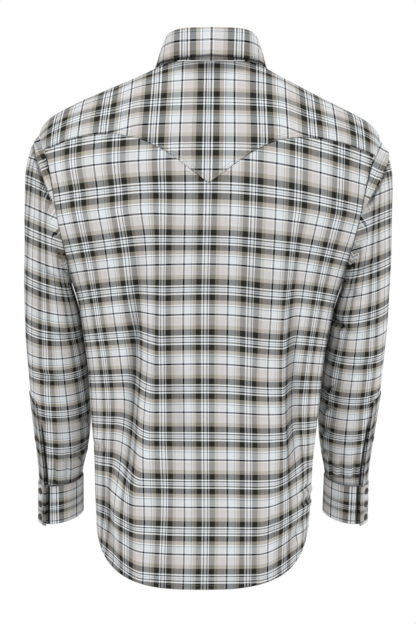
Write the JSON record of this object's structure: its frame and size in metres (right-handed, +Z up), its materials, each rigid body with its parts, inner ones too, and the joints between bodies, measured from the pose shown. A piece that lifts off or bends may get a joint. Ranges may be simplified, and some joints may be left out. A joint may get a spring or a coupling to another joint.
{
  "type": "button-up shirt",
  "caption": "Long-sleeved plaid western shirt filled out as if worn, with a folded collar, pointed back yoke, snap cuffs and curved hem.",
  "frame": {"origin": "the middle of the neck opening, level with the seam between yoke and collar stand at the back, where the wearer's neck and shoulders hold the shirt", "axes": "+Z up along the wearer's back, the front faces -Y, and the wearer's left is +X"},
  "size_m": [0.555, 0.2731, 0.8211],
  "materials": {
    "body_cloth": "matt plaid cotton twill, straight grain on back and fronts, cross grain on the yoke",
    "collar_cloth": "the same plaid, cross grain, crisp and stitched at the edge",
    "sleeve_cloth": "the same plaid, straight grain",
    "cuff_cloth": "the same plaid, crisp and stitched at the edge",
    "snap": "dark pearl cap in a thin metal rim"
  },
  "bodies": {
    "root": {"back": "body_cloth", "yoke": "body_cloth", "front_left": "body_cloth", "front_right": "body_cloth", "front_placket": "body_cloth", "collar_stand": "collar_cloth", "collar_leaf": "collar_cloth", "sleeve_left": "sleeve_cloth", "sleeve_right": "sleeve_cloth", "sleeve_placket_left": "sleeve_cloth", "sleeve_placket_right": "sleeve_cloth", "cuff_left": "cuff_cloth", "cuff_right": "cuff_cloth", "snap_collar": "snap", "snap_front_1": "snap", "snap_front_2": "snap", "snap_front_3": "snap", "snap_front_4": "snap", "snap_front_5": "snap", "snap_front_6": "snap", "snap_front_7": "snap", "snap_cuff_left_1": "snap", "snap_cuff_left_2": "snap", "snap_cuff_left_3": "snap", "snap_cuff_right_1": "snap", "snap_cuff_right_2": "snap", "snap_cuff_right_3": "snap", "snap_sleeve_left": "snap", "snap_sleeve_right": "snap"}
  },
  "joints": []
}
